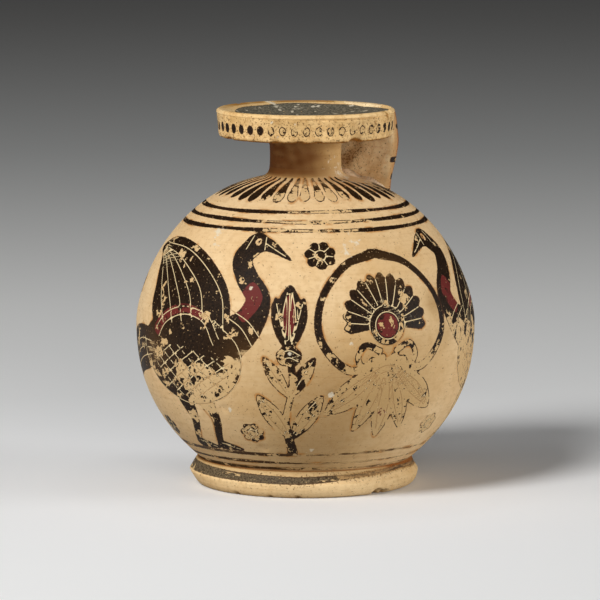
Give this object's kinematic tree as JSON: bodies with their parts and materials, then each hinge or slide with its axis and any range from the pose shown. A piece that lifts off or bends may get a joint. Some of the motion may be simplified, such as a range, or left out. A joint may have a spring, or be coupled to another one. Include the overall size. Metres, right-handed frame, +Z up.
{
  "type": "footed round aryballos",
  "caption": "Small round oil bottle of fired clay: hollow globe on a ring foot, short neck, dished mouth disc and strap handle, with painted ornament.",
  "frame": {"origin": "on the pot's axis, in the plane that the foot ring rests on", "axes": "+Z up along the pot's axis, +Y from the axis towards the strap handle"},
  "size_m": [0.1046, 0.1046, 0.1163],
  "materials": {
    "painted_clay": "buff fired clay with brown-black and dark red painted slip, satin",
    "foot_clay": "buff fired clay with a worn dark slip band, satin",
    "neck_clay": "bare buff fired clay, matt",
    "mouth_clay": "buff fired clay with a row of dark dots and a dark slipped dish, satin",
    "handle_clay": "buff fired clay with worn dark strokes, satin",
    "luting_slip": "pale smeared slip, matt"
  },
  "bodies": {
    "root": {"body": "painted_clay", "foot": "foot_clay", "foot_luting": "luting_slip", "neck": "neck_clay", "neck_luting": "luting_slip", "mouth": "mouth_clay", "mouth_luting": "luting_slip", "handle": "handle_clay", "handle_top_luting": "luting_slip", "handle_base_luting": "luting_slip"}
  },
  "joints": []
}
